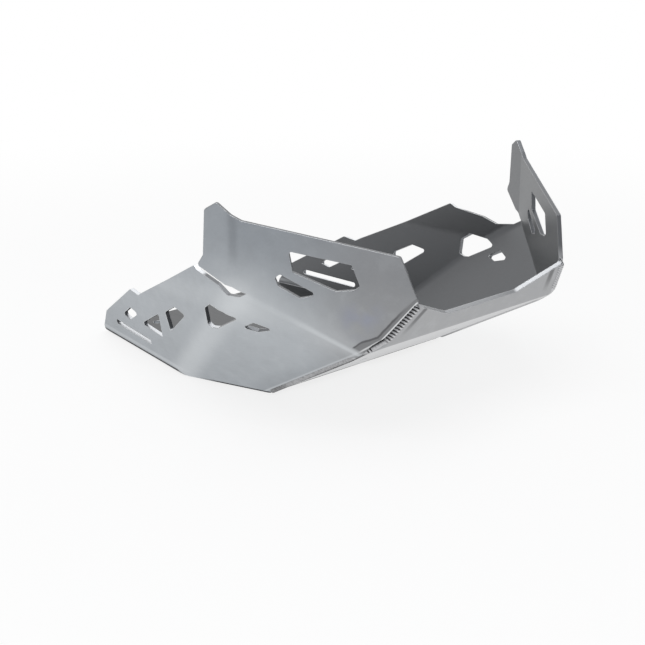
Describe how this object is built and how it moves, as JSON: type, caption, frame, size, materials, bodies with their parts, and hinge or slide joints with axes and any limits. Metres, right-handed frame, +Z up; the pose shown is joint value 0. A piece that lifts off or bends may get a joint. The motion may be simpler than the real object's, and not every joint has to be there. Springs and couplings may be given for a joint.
{
  "type": "motorcycle skid plate",
  "caption": "Folded aluminium skid plate with a flat floor, a raked nose, vented sloping sides, upright side wings and rippled weld beads along the front corners; guards an engine from below.",
  "frame": {"origin": "on the floor underside, on the centre line, 126 mm behind the nose fold", "axes": "+X to the front of the motorcycle, +Y to its left, +Z up"},
  "size_m": [0.4167, 0.4036, 0.1971],
  "materials": {
    "plate": "satin, lightly brushed, with brighter folds and cut edges",
    "weld": "rippled weld bead, dark between the ripples"
  },
  "bodies": {
    "root": {"skid_plate": "plate", "right_weld_bead": "weld", "left_weld_bead": "weld"}
  },
  "joints": []
}
